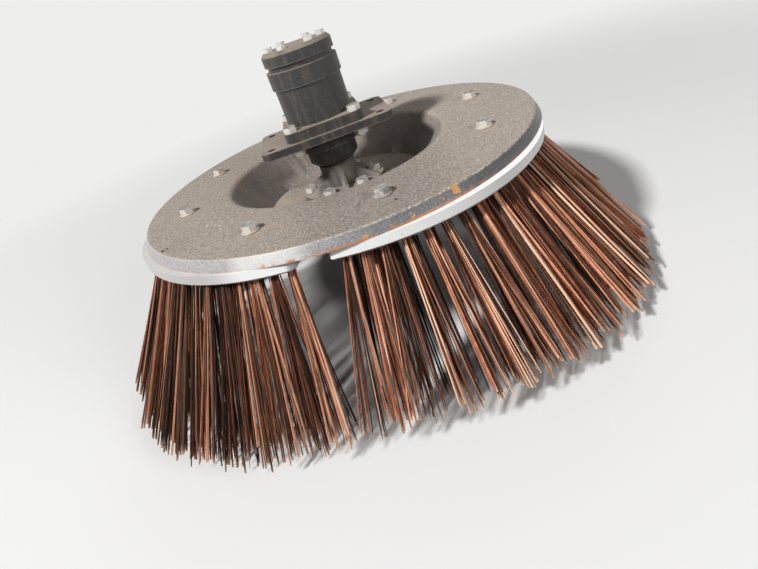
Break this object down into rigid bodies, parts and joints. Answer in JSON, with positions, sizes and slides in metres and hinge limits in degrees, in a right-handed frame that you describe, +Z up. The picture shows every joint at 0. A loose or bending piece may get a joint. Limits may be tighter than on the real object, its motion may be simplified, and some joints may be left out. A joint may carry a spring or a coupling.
{
  "type": "gutter broom of a street sweeper",
  "caption": "Rotating side broom: dished steel disc with splayed flat wires in bolted segments, on a hydraulic motor with its mounting plate.",
  "frame": {"origin": "centre of the mounting plate's bolt pattern, on the plate's top face", "axes": "+Z up along the axis on which the broom turns, +X along the long side of the mounting plate, +Y towards the motor's oil ports"},
  "size_m": [0.9503, 0.936, 0.4529],
  "materials": {
    "disc_paint": "worn dark grey paint under tan road dust, rust at the rim",
    "block_plastic": "pale grey moulded plastic, dusty",
    "wire_steel": "rusty copper brown spring steel",
    "zinc": "dull zinc plate, dusty",
    "motor_paint": "black paint, chipped and dusty",
    "plate_paint": "black paint over steel plate",
    "shaft_steel": "machined steel with a brown film"
  },
  "bodies": {
    "motor_mount": {"mounting_plate": "plate_paint", "motor_housing": "motor_paint", "port_block": "motor_paint", "motor_bolts": "zinc", "motor_nuts": "zinc", "cover_bolts": "zinc"},
    "broom": {"drive_shaft": "shaft_steel", "shaft_nut": "zinc", "drive_hub": "disc_paint", "hub_bolts": "zinc", "hub_nuts": "zinc", "broom_disc": "disc_paint", "segment_block_1": "block_plastic", "segment_block_2": "block_plastic", "segment_block_3": "block_plastic", "segment_block_4": "block_plastic", "segment_wires_1": "wire_steel", "segment_wires_2": "wire_steel", "segment_wires_3": "wire_steel", "segment_wires_4": "wire_steel", "segment_bolts": "zinc", "segment_washers": "zinc", "segment_nuts": "zinc"}
  },
  "joints": [
    {"name": "broom_spin", "type": "hinge", "parent": "motor_mount", "child": "broom", "pos_m": [0, 0, -0.06], "axis": [0, 0, 1], "continuous": true}
  ]
}
